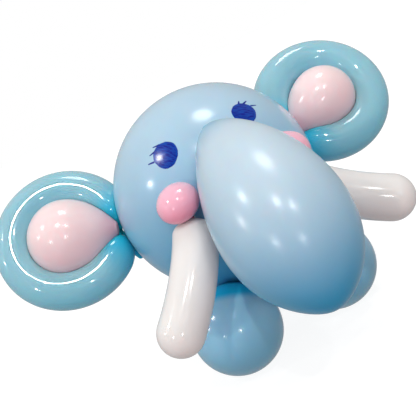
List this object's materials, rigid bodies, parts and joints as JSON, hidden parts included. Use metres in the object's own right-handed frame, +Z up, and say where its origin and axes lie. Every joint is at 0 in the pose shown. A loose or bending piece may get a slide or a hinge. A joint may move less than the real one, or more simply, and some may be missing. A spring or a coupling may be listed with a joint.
{
  "type": "balloon elephant",
  "caption": "Standing elephant figure tied together from blown latex balloons, a light table or floor decoration that rests on its round feet.",
  "frame": {"origin": "on the ground, under the middle of the bounding box", "axes": "+X towards the elephant's left, -Y the way it faces, +Z up"},
  "size_m": [0.5484, 0.4184, 0.317],
  "materials": {
    "head_latex": "glossy",
    "trunk_latex": "glossy",
    "foot_latex": "glossy",
    "ring_latex": "glossy",
    "ear_ball_latex": "satin pearl",
    "cheek_latex": "glossy",
    "tusk_latex": "glossy"
  },
  "bodies": {
    "root": {"head": "head_latex", "trunk": "trunk_latex", "front_foot_right": "foot_latex", "front_foot_left": "foot_latex", "rear_foot_right": "foot_latex", "rear_foot_left": "foot_latex", "ear_ring_right": "ring_latex", "ear_ring_left": "ring_latex", "ear_ball_right": "ear_ball_latex", "ear_ball_left": "ear_ball_latex", "cheek_right": "cheek_latex", "cheek_left": "cheek_latex", "tusk_right": "tusk_latex", "tusk_left": "tusk_latex"}
  },
  "joints": []
}
